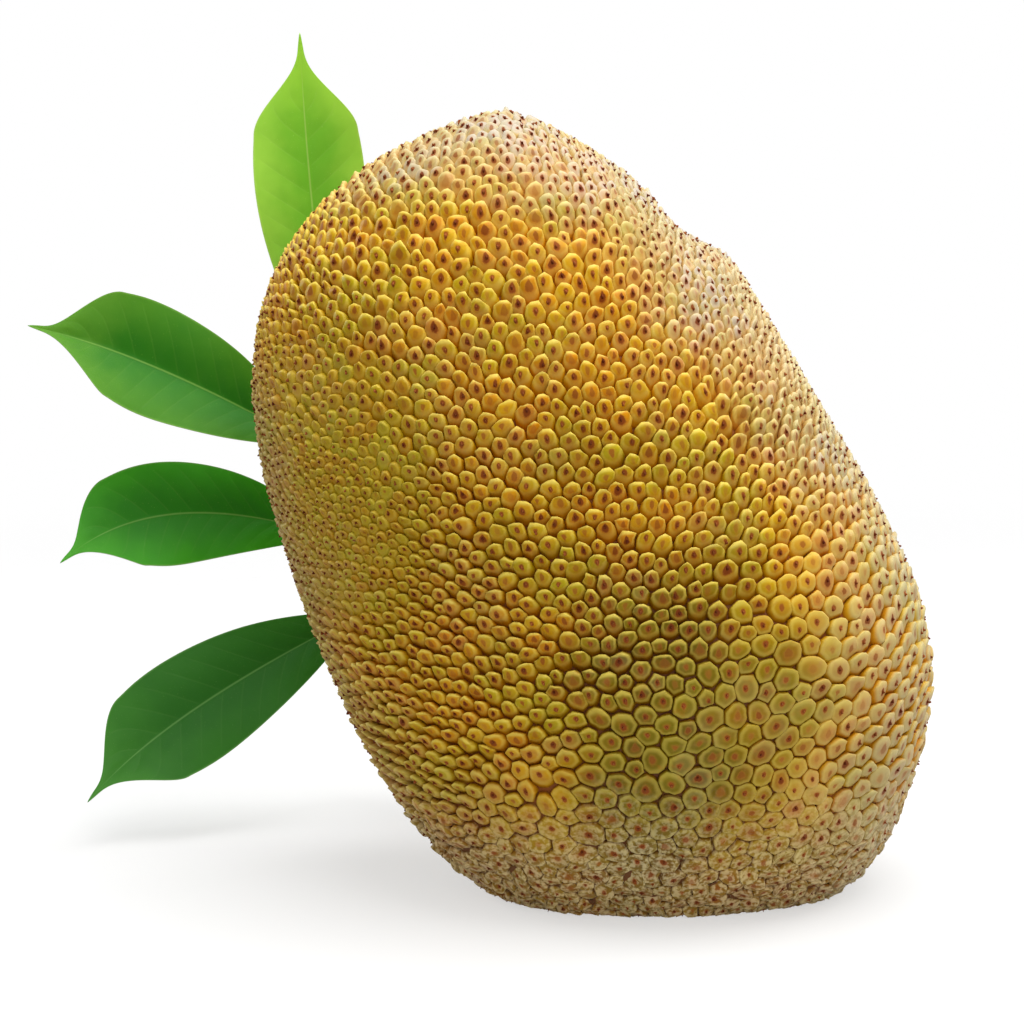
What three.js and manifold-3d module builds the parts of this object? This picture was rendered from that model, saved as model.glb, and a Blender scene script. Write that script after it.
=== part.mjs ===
// A ripe whole jackfruit standing on the small flat spot under its heavy end, picked with the stalk it
// hung by and the leafy shoot that grew from that stalk. Millimetres, +Z up. The origin is the middle of
// the flat spot, +X is towards the heavy end and +Y is towards the stalk side.
import * as THREE from "three";
import { mergeVertices } from "three/addons/utils/BufferGeometryUtils.js";
import Module from "manifold-3d";

const wasm = await Module();
wasm.setup();

const point = (x, y, z) => new THREE.Vector3(x, y, z);

// ---------- driving dimensions ----------
const FRUIT_HALF_DEPTH = 110; // from the middle plane to the front or the back of the rind
const FRUIT_HEART = point(-26, 0, 159); // the middle of the fruit, which every radius is measured from
const FRUIT_ROUNDNESS = 2.1; // 2 is an ellipse from outline to front, more is fuller
const FRUIT_DETAIL = 14; // cuts along each edge of the starting icosahedron
const SADDLE_EVENING = 0.45; // how far round the outline the sides even out its hollows, in radians
const FACE_GAP = 0.3; // between pieces that touch
const LEAF_THICKNESS = 1.2; // at the midrib
const LEAF_EDGE_THINNING = 0.55; // the share of its thickness that a blade loses by its edge
const LEAF_CUPPING = 0.12; // how far a blade's halves arch back, as a share of its half width
const LEAF_ROWS = 16; // along the blade
const LEAF_COLUMNS = 6; // across the blade
const PETIOLE_LENGTH = 0.12; // the bare stalk's share of the leaf's length
const PETIOLE_OVERRUN = 0.1; // how far its rib runs on under the blade, as the same share
const PETIOLE_RADIUS = [1.8, 1.1]; // at the shoot, and where it runs out under the blade
const STALK_RADIUS = [15, 10.5]; // at the fruit, and at the cut end
const STALK_FLARE = { rise: 5, spread: 0.16 }; // where it joins the fruit
const STALK_COLLAR = { rise: 1.2, spread: 0.12, at: 0.55 }; // an old ring part way along
const SHOOT_RADIUS = [4.6, 2.6]; // at the stalk, and at the top leaf
const SHOOT_NODES = [0.34, 0.55, 0.84]; // where the side leaves join, as shares of its length
const SHOOT_NODE = { rise: 0.9, spread: 0.03 }; // the swelling at each of them

// The fruit's outline on its middle plane, as x and z, anticlockwise from the flat spot.
const FRUIT_OUTLINE = [
  [63, -6], // heel
  [89, 12],
  [105, 44],
  [114, 87], // heavy end
  [109, 126],
  [89, 170],
  [65, 210],
  [41, 249],
  [27, 270],
  [6, 282], // saddle
  [-11, 301],
  [-43, 322],
  [-66, 331], // crown
  [-101, 320],
  [-135, 299],
  [-159, 269],
  [-170, 231], // cheek
  [-168, 189],
  [-158, 149],
  [-141, 100],
  [-116, 48],
  [-83, 8], // toe
  [-41, -14],
  [13, -16],
];

// Where seeds filled out more or less than their neighbours: the rind rises or sinks by rise millimetres
// around the direction toward, fading over spread radians.
const SWELLS = [
  { toward: point(-0.62, -0.62, 0.48), rise: 3.5, spread: 0.5 },
  { toward: point(-0.5, -0.8, -0.25), rise: -4.5, spread: 0.28 },
  { toward: point(0.45, -0.75, -0.5), rise: 4, spread: 0.55 },
  { toward: point(0.1, 0.9, 0.45), rise: 5, spread: 0.6 },
  { toward: point(0.62, 0.7, -0.3), rise: 3.5, spread: 0.45 },
  { toward: point(-0.38, 0.88, -0.42), rise: -6, spread: 0.34 },
  { toward: point(-0.75, 0.6, 0.35), rise: -2.5, spread: 0.35 },
];

const STALK_PATH = [point(-72, 84, 98), point(-80, 108, 91), point(-92, 130, 80), point(-108, 150, 66)];
const SHOOT_PATH = [
  point(-88, 121, 85),
  point(-104, 128, 93),
  point(-125, 124, 112),
  point(-138, 113, 142),
  point(-142, 104, 172),
  point(-142, 98, 190),
];

// Each leaf: the three points that its midrib bends through, from the shoot to the tip, the blade's half
// width, the side it faces, and how far its two halves fold up towards that side.
const LEAVES = {
  leaf_top: {
    midrib: [point(-142, 98, 188), point(-153, 90, 282), point(-157, 68, 367)],
    halfWidth: 25,
    faces: point(0.1, -1, 0.15),
    fold: 0.2,
  },
  leaf_upper: {
    midrib: [point(-142, 106, 171), point(-217, 88, 213), point(-277, 50, 239)],
    halfWidth: 29,
    faces: point(0, -0.88, 0.47),
    fold: 0.42,
  },
  leaf_middle: {
    midrib: [point(-135, 118, 130), point(-214, 102, 148), point(-267, 62, 131)],
    halfWidth: 25,
    faces: point(-0.15, -0.95, 0.3),
    fold: 0.25,
  },
  leaf_lower: {
    midrib: [point(-118, 126, 105), point(-206, 96, 60), point(-256, 56, 22)],
    halfWidth: 27,
    faces: point(-0.2, -0.95, 0.25),
    fold: 0.25,
  },
};

// ---------- solids ----------
// A closed three.js geometry as a manifold-3d solid.
function solid(geometry) {
  const bare = geometry.clone();
  bare.deleteAttribute("normal");
  bare.deleteAttribute("uv");
  const merged = mergeVertices(bare, 1e-4);
  const mesh = new wasm.Mesh({
    numProp: 3,
    vertProperties: merged.attributes.position.array,
    triVerts: new Uint32Array(merged.index.array),
  });
  return new wasm.Manifold(mesh);
}

// A manifold-3d solid as a named mesh with its material.
function namedMesh(name, body, material) {
  const { vertProperties, triVerts } = body.getMesh();
  const geometry = new THREE.BufferGeometry();
  geometry.setAttribute("position", new THREE.BufferAttribute(vertProperties, 3));
  geometry.setIndex(new THREE.BufferAttribute(triVerts, 1));
  geometry.computeVertexNormals();
  const mesh = new THREE.Mesh(geometry, material);
  mesh.name = name;
  return mesh;
}

// Rings of points joined into one closed skin, with a fan over the first ring and over the last.
function skinOverRings(rings) {
  const sides = rings[0].length;
  const positions = rings.flat().flatMap((p) => [p.x, p.y, p.z]);
  const faces = [];
  for (let ring = 0; ring + 1 < rings.length; ring++) {
    for (let side = 0; side < sides; side++) {
      const next = (side + 1) % sides;
      const [a, b] = [ring * sides + side, ring * sides + next];
      faces.push(a, b, b + sides, a, b + sides, a + sides);
    }
  }
  const last = (rings.length - 1) * sides;
  for (let side = 1; side + 1 < sides; side++) {
    faces.push(0, side + 1, side);
    faces.push(last, last + side, last + side + 1);
  }
  const geometry = new THREE.BufferGeometry();
  geometry.setAttribute("position", new THREE.BufferAttribute(new Float32Array(positions), 3));
  geometry.setIndex(faces);
  return geometry;
}

// A round bar along a path. radiusAt gives its radius at each share of the path's length.
function taperedBar(path, radiusAt, steps, sides) {
  const curve = new THREE.CatmullRomCurve3(path);
  const frames = curve.computeFrenetFrames(steps);
  const rings = [];
  for (let step = 0; step <= steps; step++) {
    const share = step / steps;
    const centre = curve.getPointAt(share);
    const radius = radiusAt(share);
    const ring = [];
    for (let side = 0; side < sides; side++) {
      const angle = (2 * Math.PI * side) / sides;
      const out = frames.normals[step].clone().multiplyScalar(Math.cos(angle) * radius);
      out.addScaledVector(frames.binormals[step], Math.sin(angle) * radius);
      ring.push(centre.clone().add(out));
    }
    rings.push(ring);
  }
  return solid(skinOverRings(rings));
}

// ---------- the fruit ----------
// The outline's distance from the heart in each direction round the middle plane, as a lookup.
function outlineReach() {
  const corners = FRUIT_OUTLINE.map(([x, z]) => point(x, 0, z));
  const samples = new THREE.CatmullRomCurve3(corners, true, "centripetal")
    .getPoints(720)
    .slice(0, -1)
    .map((p) => p.sub(FRUIT_HEART))
    .map((p) => ({ angle: Math.atan2(p.z, p.x), reach: Math.hypot(p.x, p.z) }))
    .sort((a, b) => a.angle - b.angle);
  const turn = 2 * Math.PI;
  samples.unshift({ ...samples.at(-1), angle: samples.at(-1).angle - turn });
  samples.push({ ...samples[1], angle: samples[1].angle + turn });
  return (angle) => {
    const after = samples.findIndex((s) => s.angle > angle);
    const [a, b] = [samples[after - 1], samples[after]];
    return THREE.MathUtils.mapLinear(angle, a.angle, b.angle, a.reach, b.reach);
  };
}

// The same reach evened out over the directions beside it, so the saddle doesn't run round the body.
function evenedReach(reachAt) {
  const steps = 8;
  return (angle) => {
    let sum = 0;
    let weights = 0;
    for (let step = -steps; step <= steps; step++) {
      const weight = 1 - (step / (steps + 1)) ** 2;
      const turned = angle + (SADDLE_EVENING * step) / steps;
      sum += weight * reachAt(Math.atan2(Math.sin(turned), Math.cos(turned)));
      weights += weight;
    }
    return sum / weights;
  };
}

// The whole fruit before its flat spot, with its rind moved out by grow millimetres.
function fruitBeforeFlat(grow) {
  const reachAt = outlineReach();
  const evenedAt = evenedReach(reachAt);
  const geometry = new THREE.IcosahedronGeometry(1, FRUIT_DETAIL);
  const place = geometry.attributes.position;
  const toward = new THREE.Vector3();
  for (let i = 0; i < place.count; i++) {
    toward.fromBufferAttribute(place, i).normalize();
    const angle = Math.atan2(toward.z, toward.x);
    const sideways = THREE.MathUtils.smoothstep(Math.abs(toward.y), 0.05, 0.75);
    const reach = THREE.MathUtils.lerp(reachAt(angle), evenedAt(angle), sideways);
    const flatShare = Math.hypot(toward.x, toward.z) / reach;
    const deepShare = Math.abs(toward.y) / FRUIT_HALF_DEPTH;
    const power = FRUIT_ROUNDNESS;
    let radius = (flatShare ** power + deepShare ** power) ** (-1 / power);
    for (const swell of SWELLS) {
      const off = toward.angleTo(swell.toward) / swell.spread;
      radius += swell.rise * Math.exp(-off * off);
    }
    toward.multiplyScalar(radius + grow).add(FRUIT_HEART);
    place.setXYZ(i, toward.x, toward.y, toward.z);
  }
  return solid(geometry);
}

// The fruit with its flat spot cut at z = 0.
function fruit() {
  const [width, depth] = [600, 100];
  const under = new THREE.BoxGeometry(width, width, depth).translate(0, 0, -depth / 2);
  return fruitBeforeFlat(0).subtract(solid(under));
}

// ---------- the stalk and the shoot ----------
const alongTaper = ([from, to]) => (share) => THREE.MathUtils.lerp(from, to, share);

// How much a swelling centred at a share of a bar's length adds to its radius at another share.
const swelling = ({ rise, spread }, at, share) => rise * Math.exp(-(((share - at) / spread) ** 2));

// The stalk flares where it joins the fruit, and has one collar.
function stalkBar(grow) {
  const taper = alongTaper(STALK_RADIUS);
  const rings = (share) => swelling(STALK_FLARE, 0, share) + swelling(STALK_COLLAR, STALK_COLLAR.at, share);
  return taperedBar(STALK_PATH, (share) => taper(share) + rings(share) + grow, 14, 16);
}

function stalk() {
  return stalkBar(0).subtract(fruitBeforeFlat(FACE_GAP));
}

// The shoot thickens at each node, where a leaf joins it. Grown, it also reaches past its own end.
function shootBar(grow) {
  const rings = (share) => SHOOT_NODES.reduce((sum, at) => sum + swelling(SHOOT_NODE, at, share), 0);
  const taper = alongTaper(SHOOT_RADIUS);
  const [before, end] = SHOOT_PATH.slice(-2);
  const past = end.clone().add(end.clone().sub(before).setLength(grow));
  const path = [...SHOOT_PATH.slice(0, -1), past];
  return taperedBar(path, (share) => taper(share) + rings(share) + grow, 26, 10);
}

function shoot() {
  return shootBar(0).subtract(stalkBar(FACE_GAP));
}

// ---------- the leaves ----------
// The blade's half width as a share of its widest, from its base at 0 to its tip at 1: an oval, widest
// past its middle, that draws in sharply to a drip tip.
function bladeProfile(share) {
  const ovalEnd = 0.905;
  const oval = Math.sin(Math.PI * Math.min(share / ovalEnd, 1) ** 1.45) ** 0.6;
  const dripTip = 0.9 * (1 - share) ** 0.85 * THREE.MathUtils.smoothstep(share, 0.5, 0.85);
  return Math.max(oval, dripTip, 0) + 0.03;
}

// A Bezier curve through three points, the middle one at its half.
function bendThrough([start, middle, end]) {
  const control = middle.clone().multiplyScalar(2).addScaledVector(start, -0.5).addScaledVector(end, -0.5);
  return new THREE.QuadraticBezierCurve3(start, control, end);
}

// The rings of points round the blade, one at each row, with its upper side first.
function bladeRings(curve, { halfWidth, faces, fold }) {
  const rings = [];
  for (let row = 0; row <= LEAF_ROWS; row++) {
    const share = row / LEAF_ROWS;
    const at = PETIOLE_LENGTH + (1 - PETIOLE_LENGTH) * share;
    const centre = curve.getPointAt(at);
    const along = curve.getTangentAt(at);
    const across = along.clone().cross(faces).normalize();
    const up = across.clone().cross(along).normalize();
    const half = halfWidth * bladeProfile(share);
    const top = [];
    const under = [];
    for (let column = 0; column <= LEAF_COLUMNS; column++) {
      const side = (2 * column) / LEAF_COLUMNS - 1;
      const out = side * half * Math.cos(fold);
      const lift = half * (Math.abs(side) * Math.sin(fold) - LEAF_CUPPING * side * side);
      const skin = centre.clone().addScaledVector(across, out).addScaledVector(up, lift);
      const thin = (LEAF_THICKNESS / 2) * (1 - LEAF_EDGE_THINNING * Math.abs(side));
      top.push(skin.clone().addScaledVector(up, thin));
      under.push(skin.clone().addScaledVector(up, -thin));
    }
    rings.push([...top, ...under.reverse()]);
  }
  return rings;
}

function leafSolid(leaf) {
  const curve = bendThrough(leaf.midrib);
  const blade = solid(skinOverRings(bladeRings(curve, leaf)));
  const ribShares = [0, 0.33, 0.67, 1].map((share) => share * (PETIOLE_LENGTH + PETIOLE_OVERRUN));
  const ribPath = ribShares.map((share) => curve.getPointAt(share));
  const petiole = taperedBar(ribPath, alongTaper(PETIOLE_RADIUS), 5, 8);
  return blade.add(petiole).subtract(shootBar(FACE_GAP));
}

// ---------- the assembly ----------
const rind = new THREE.MeshStandardMaterial({ color: "#b98532", roughness: 0.6, metalness: 0 });
const wood = new THREE.MeshStandardMaterial({ color: "#7d6a3c", roughness: 0.75, metalness: 0 });
const bark = new THREE.MeshStandardMaterial({ color: "#6f7d3a", roughness: 0.7, metalness: 0 });
const youngLeaf = new THREE.MeshStandardMaterial({ color: "#6fb13a", roughness: 0.45, metalness: 0 });
const oldLeaf = new THREE.MeshStandardMaterial({ color: "#2f7d2a", roughness: 0.4, metalness: 0 });

const jackfruit = new THREE.Group();
jackfruit.add(namedMesh("fruit", fruit(), rind));
jackfruit.add(namedMesh("stalk", stalk(), wood));
jackfruit.add(namedMesh("shoot", shoot(), bark));
for (const [name, leaf] of Object.entries(LEAVES)) {
  jackfruit.add(namedMesh(name, leafSolid(leaf), name === "leaf_top" ? youngLeaf : oldLeaf));
}

export default jackfruit;
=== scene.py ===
# A ripe whole jackfruit standing on the flat spot under its heavy end, with the stalk that it hung by
# and the leafy shoot that grew from that stalk. Metres, +Z up. +X is towards the heavy end, and the
# stalk and the shoot are on the +Y side.
import math

import bmesh
import bpy
import numpy as np
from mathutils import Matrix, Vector
from mathutils.bvhtree import BVHTree


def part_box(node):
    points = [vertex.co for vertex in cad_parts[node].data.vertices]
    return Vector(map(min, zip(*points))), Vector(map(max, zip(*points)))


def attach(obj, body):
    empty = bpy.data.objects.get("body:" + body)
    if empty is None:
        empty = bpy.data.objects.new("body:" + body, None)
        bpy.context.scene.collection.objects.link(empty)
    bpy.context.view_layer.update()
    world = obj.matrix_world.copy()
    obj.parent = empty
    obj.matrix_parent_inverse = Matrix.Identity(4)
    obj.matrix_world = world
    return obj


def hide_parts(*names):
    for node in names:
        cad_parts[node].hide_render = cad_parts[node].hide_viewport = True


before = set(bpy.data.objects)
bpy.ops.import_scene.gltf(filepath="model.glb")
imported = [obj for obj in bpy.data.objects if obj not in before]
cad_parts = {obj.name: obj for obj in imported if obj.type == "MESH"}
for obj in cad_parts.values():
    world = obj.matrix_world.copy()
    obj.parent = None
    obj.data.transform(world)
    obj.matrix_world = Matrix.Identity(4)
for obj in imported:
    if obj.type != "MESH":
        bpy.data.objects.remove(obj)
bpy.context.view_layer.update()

MM = 0.001
FRUIT_LOW, FRUIT_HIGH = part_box("fruit")
FRUIT_HEART = np.array((FRUIT_LOW + FRUIT_HIGH) / 2)
luck = np.random.default_rng(11)

# ---------- driving values ----------
PEG_PITCH = 7.3 * MM  # between the tall spines of the stalk end
PLATE_PITCH = 9.5 * MM  # between the low, flat-topped spines of the heavy end
PEG_HEIGHT = 0.74  # of the pitch
PLATE_HEIGHT = 0.25
PEG_LEAN = 0.52  # how far a tall spine's crest leans over, as a share of the pitch
PEG_TILT = 0.4  # how steeply a tall spine's top slopes down to its front
CREST_LEVEL = 1.8 * MM  # above the mean skin
GROOVE = 0.4 * MM  # between two spines
GROOVE_DEPTH = (0.75, 0.6)  # of a spine's height, for pegs and plates
FLOOR_GAP = 0.3 * MM  # under the lowest spines
LUMPS = 1.3 * MM  # how unevenly a spine swells
SPINE_PIECES = {"spines_back": 10, "spines_front": 10, "spines_heavy_end": 14}  # with their sides

# A spine's rings above its root: each one's width as a share of the root's and its height as a share of
# the spine's. Each of the two is given for a peg, for a plate, and as what fused spines add to it.
ROOT_HEIGHT = -0.45
SPINE_RINGS = (
    ((1.08, 1.06, 0.16), (0.36, 0.5, 0.2)),
    ((0.95, 0.98, -0.2), (0.8, 0.93, 0.04)),
    ((0.71, 0.88, -0.27), (0.99, 1.0, 0.0)),
)
CROWNING = (0.03, -0.05)  # how far the middle of a spine's top stands up, for pegs and plates

# The dried flower scars, and the nibs of dry style that stand on about two thirds of them.
SCAR_FRONT = -0.18  # how far in front of a peg's crest its scar lies
NIB_SIDES = 6
NIB_DEPTH = 0.6 * MM
NIB_WIDTH = (0.15, 0.09)  # of the spine's half width, for pegs and plates
NIB_STRETCH = (1.7, 1.1)  # its length along the fruit over its width
NO_NIB = 0.35  # the share of the spines that have none

# How the spines find their places.
FEELER_RAYS = 40000
ROW_GAP = 0.866  # between two rows of an even net, as a share of the pitch
STRAY = 0.05  # how far a spine stands from its even place, as a share of the pitch
RELAX_STEPS = 36
NEIGHBOURS = 9
ROOM = 1.06  # that a spine pushes for, as a share of the pitch
PUSH = 0.3  # how much of the way a spine gives at each step

# The rind's regions: directions from the fruit's heart, and places and sizes in metres.
CROWN_WARD = (0.756, 0.0, 0.655)
CROWN_RISE = (0.285, 0.34)
STALK_WARD = (-0.9, 0.1, -0.3)
LIME_AT = (-0.115, -0.07, 0.185)
CHEEK_AT = (-0.145, -0.055, 0.185)
SMALL_SPINES_AT = (-0.118, -0.07, 0.175)
OLIVE_AT = (0.003, -0.07, 0.085)
OLIVE_SIZE = (0.046, 0.14, 0.065)
STALK_AT = (-0.072, 0.095, 0.095)
BARE_ROUND_STALK = 0.0185

STALK_PATH = ((-72, 84, 98), (-80, 108, 91), (-92, 130, 80), (-108, 150, 66))  # mm, as the rest here
STALK_RADIUS = (15, 10.5)
STALK_HOOPS = (0.31, 0.46, 0.62, 0.74, 0.85)  # the scars round it, as shares of its length
YEAR_RING = 0.9 * MM
SHOOT_PATH = (
    (-88, 121, 85),
    (-104, 128, 93),
    (-125, 124, 112),
    (-138, 113, 142),
    (-142, 104, 172),
    (-142, 98, 190),
)
SHOOT_RADIUS = (4.6, 2.6)
SHOOT_NODES = (0.34, 0.55, 0.84)
BUD_LENGTH = 8 * MM
PETIOLE_RADIUS = (1.8, 1.1)
PETIOLE_SHARE = 0.12  # of the leaf's length
PETIOLE_REACH = 0.22
BLADE_GRID = (150, 49)  # rows along the blade and columns across it
VEINS = 13.0  # on each side of the midrib
VEIN_SWEEP = 1.7  # how far a vein runs on towards the tip, in spaces between veins
PILLOW = 0.28 * MM  # how far the blade swells between two veins
EDGE_WAVE = 1.1 * MM
BLADE_HALF_THICKNESS = 0.45 * MM
MIDRIB_HALF_WIDTH = 0.9 * MM
MIDRIB_GROOVE = 0.15 * MM  # above the blade
MIDRIB_RIDGE = 1.2 * MM  # below it

# Each leaf's midrib through three points, its half width, what it faces, its fold, slot and greens.
LEAVES = {
    "leaf_top": (
        ((-142, 98, 188), (-153, 90, 282), (-157, 68, 367)),
        25,
        (0.1, -1, 0.15),
        0.2,
        "young_leaf",
        ("78c832", "b0ee52", "a6ea44", "c4e87c"),
    ),
    "leaf_upper": (
        ((-142, 106, 171), (-217, 88, 213), (-277, 50, 239)),
        29,
        (0, -0.88, 0.47),
        0.42,
        "old_leaf",
        ("26700c", "4a881a", "568c20", "84b04c"),
    ),
    "leaf_middle": (
        ((-135, 118, 130), (-214, 102, 148), (-267, 62, 131)),
        25,
        (-0.15, -0.95, 0.3),
        0.25,
        "old_leaf",
        ("227606", "38960e", "40941c", "80a852"),
    ),
    "leaf_lower": (
        ((-118, 126, 105), (-206, 96, 60), (-256, 56, 22)),
        27,
        (-0.2, -0.95, 0.25),
        0.25,
        "old_leaf",
        ("226610", "30761a", "3e8222", "74a856"),
    ),
}

CAMERA_TARGET = Vector((-0.0633, 0.0, 0.16295))
CAMERA_DISTANCE = 1.2167
CAMERA_RISE = math.radians(8)
LIGHTS_AIM = (-0.03, 0.0, 0.16)
# Each light's place, its size and its power.
LIGHTS = {
    "overhead": ((0.2, -0.2, 1.5), 1.5, 27),
    "front_fill": ((0.5, -1.6, 1.0), 1.8, 12),
    "right_rim": ((1.3, 0.6, 0.8), 0.8, 9),
    "left_rim": ((-1.4, 0.6, 0.6), 0.8, 9),
}
SKY_LIGHT = 0.34
SKY_SEEN = 1.0  # by the camera
FLOOR_RADIUS = 3.0
FLOOR_CLEAR = 0.55  # how much of the bright surroundings shows through the floor under the fruit


# ---------- small helpers ----------
def paint(code):
    """A colour's linear values from its hex code."""
    parts = [int(code[i : i + 2], 16) / 255 for i in (0, 2, 4)]
    linear = [c / 12.92 if c <= 0.04045 else ((c + 0.055) / 1.055) ** 2.4 for c in parts]
    return (*linear, 1.0)


def smooth(value, low, high):
    """0 below low, 1 above high, and an even rise between them."""
    share = np.clip((value - low) / (high - low), 0, 1)
    return share * share * (3 - 2 * share)


def unit(rows):
    return rows / np.maximum(np.linalg.norm(rows, axis=-1, keepdims=True), 1e-12)


def placed(name, mesh):
    """A new object at the origin that holds the mesh."""
    made = bpy.data.objects.new(name, mesh)
    bpy.context.scene.collection.objects.link(made)
    return made


def stored(mesh, name, values):
    """Keeps one number or one vector for each of the mesh's points, under that name."""
    values = np.asarray(values, np.float32)
    kind, field = ("FLOAT_VECTOR", "vector") if values.ndim == 2 else ("FLOAT", "value")
    layer = mesh.attributes.new(name, kind, "POINT")
    layer.data.foreach_set(field, values.ravel())


def finished(piece, slot, *nodes):
    """The piece rides on the fruit's body and stands in for the nodes. The slot is not used."""
    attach(piece, "root")
    if nodes:
        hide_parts(*nodes)


# ---------- node trees ----------
def is_vector(value):
    """Whether a node's output or a plain value is a vector, and not one number."""
    return value.socket.type == "VECTOR" if isinstance(value, Wire) else isinstance(value, tuple)


def feed(tree, socket, value):
    """Links a node's output to the socket, or sets the socket to a plain value."""
    if isinstance(value, Wire):
        tree.links.new(value.socket, socket)
    else:
        socket.default_value = value


class Wire:
    """A node's output that can stand in sums with numbers, vectors and other outputs."""

    def __init__(self, tree, socket):
        self.tree = tree
        self.socket = socket

    def through(self, operation, *others):
        values = (self, *others)
        vector = any(is_vector(value) for value in values)
        node = self.tree.nodes.new("ShaderNodeVectorMath" if vector else "ShaderNodeMath")
        node.operation = operation
        for socket, value in zip(node.inputs, values):
            feed(self.tree, socket, value)
        single = not vector or operation in ("DOT_PRODUCT", "LENGTH", "DISTANCE")
        return Wire(self.tree, node.outputs["Value" if single else "Vector"])

    def scaled(self, vector, number):
        node = self.tree.nodes.new("ShaderNodeVectorMath")
        node.operation = "SCALE"
        feed(self.tree, node.inputs["Vector"], vector)
        feed(self.tree, node.inputs["Scale"], number)
        return Wire(self.tree, node.outputs["Vector"])

    def __mul__(self, other):
        if is_vector(self) and not is_vector(other):
            return self.scaled(self, other)
        if is_vector(other) and not is_vector(self):
            return self.scaled(other, self)
        return self.through("MULTIPLY", other)

    __rmul__ = __mul__

    def __add__(self, other):
        return self.through("ADD", other)

    __radd__ = __add__

    def __sub__(self, other):
        return self.through("SUBTRACT", other)

    def __rsub__(self, other):
        return self * -1 + other

    def __truediv__(self, other):
        return self.through("DIVIDE", other)

    def __abs__(self):
        return self.through("ABSOLUTE")

    def least(self, other):
        return self.through("MINIMUM", other)

    def most(self, other):
        return self.through("MAXIMUM", other)

    def dot(self, other):
        return self.through("DOT_PRODUCT", other)

    def length(self):
        return self.through("LENGTH")

    def rise(self, low, high):
        """0 at low, 1 at high, and an even rise between them."""
        node = self.tree.nodes.new("ShaderNodeMapRange")
        node.interpolation_type = "SMOOTHSTEP"
        for name, value in {"Value": self, "From Min": low, "From Max": high}.items():
            feed(self.tree, node.inputs[name], value)
        return Wire(self.tree, node.outputs["Result"])

    def between(self, low, high):
        """low where this is 0 and high where it is 1."""
        return low + (high - low) * self

    def steps(self, *values):
        """The values where this is 0, 1, 2 and so on, and straight lines between them."""
        total = values[0]
        for at, (here, after) in enumerate(zip(values, values[1:])):
            total = total + (self - at).most(0.0).least(1.0) * (after - here)
        return total

    def parts(self):
        node = self.tree.nodes.new("ShaderNodeSeparateXYZ")
        feed(self.tree, node.inputs[0], self)
        return [Wire(self.tree, socket) for socket in node.outputs]

    def other(self, name):
        """Another output of the same node."""
        return Wire(self.tree, self.socket.node.outputs[name])


class Bench:
    """A node tree whose nodes are all added by one method."""

    def __init__(self, tree):
        self.tree = tree

    def add(self, kind, settings=None, inputs=None, output=0):
        node = self.tree.nodes.new(kind)
        for name, value in (settings or {}).items():
            setattr(node, name, value)
        for name, value in (inputs or {}).items():
            feed(self.tree, node.inputs[name], value)
        return Wire(self.tree, node.outputs[output]) if node.outputs else node

    def vector(self, x, y, z):
        return self.add("ShaderNodeCombineXYZ", None, {"X": x, "Y": y, "Z": z})


class Grower(Bench):
    """A Geometry Nodes tree with named inputs."""

    KINDS = {float: "NodeSocketFloat", int: "NodeSocketInt", str: "NodeSocketMaterial"}

    def __init__(self, name, **inputs):
        super().__init__(bpy.data.node_groups.new(name, "GeometryNodeTree"))
        face = self.tree.interface
        face.new_socket("Base", in_out="INPUT", socket_type="NodeSocketGeometry")
        for label, value in inputs.items():
            socket = face.new_socket(label, in_out="INPUT", socket_type=self.KINDS[type(value)])
            if not isinstance(value, str):
                socket.default_value = value
        face.new_socket("Grown", in_out="OUTPUT", socket_type="NodeSocketGeometry")
        self.entry = self.tree.nodes.new("NodeGroupInput")

    def given(self, name):
        return Wire(self.tree, self.entry.outputs[name])

    def kept(self, name, kind="FLOAT"):
        """What a point keeps under that name."""
        return self.add("GeometryNodeInputNamedAttribute", {"data_type": kind}, {"Name": name})

    def keep(self, geometry, name, value, kind="FLOAT"):
        settings = {"data_type": kind, "domain": "POINT"}
        inputs = {"Geometry": geometry, "Name": name, "Value": value}
        return self.add("GeometryNodeStoreNamedAttribute", settings, inputs)

    def move(self, geometry, **where):
        inputs = {"Geometry": geometry, **{name.title(): value for name, value in where.items()}}
        return self.add("GeometryNodeSetPosition", None, inputs)

    def end(self, geometry):
        """Realizes what was placed, shades it smooth, gives it the material and closes the tree."""
        real = self.add("GeometryNodeRealizeInstances", None, {"Geometry": geometry})
        even = self.add("GeometryNodeSetShadeSmooth", None, {"Geometry": real})
        inputs = {"Geometry": even, "Material": self.given("Material")}
        coloured = self.add("GeometryNodeSetMaterial", None, inputs)
        self.tree.links.new(coloured.socket, self.tree.nodes.new("NodeGroupOutput").inputs[0])

    def grow(self, name, base, **values):
        """What the tree makes of the base, as a plain mesh in a new object."""
        modifier = base.modifiers.new("grow", "NODES")
        modifier.node_group = self.tree
        for item in self.tree.interface.items_tree:
            if item.in_out == "INPUT" and item.name in values:
                modifier[item.identifier] = values[item.name]
        graph = bpy.context.evaluated_depsgraph_get()
        seen = base.evaluated_get(graph)
        mesh = bpy.data.meshes.new_from_object(seen, preserve_all_data_layers=True, depsgraph=graph)
        base.modifiers.remove(modifier)
        mesh.name = name
        return placed(name, mesh)


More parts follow.
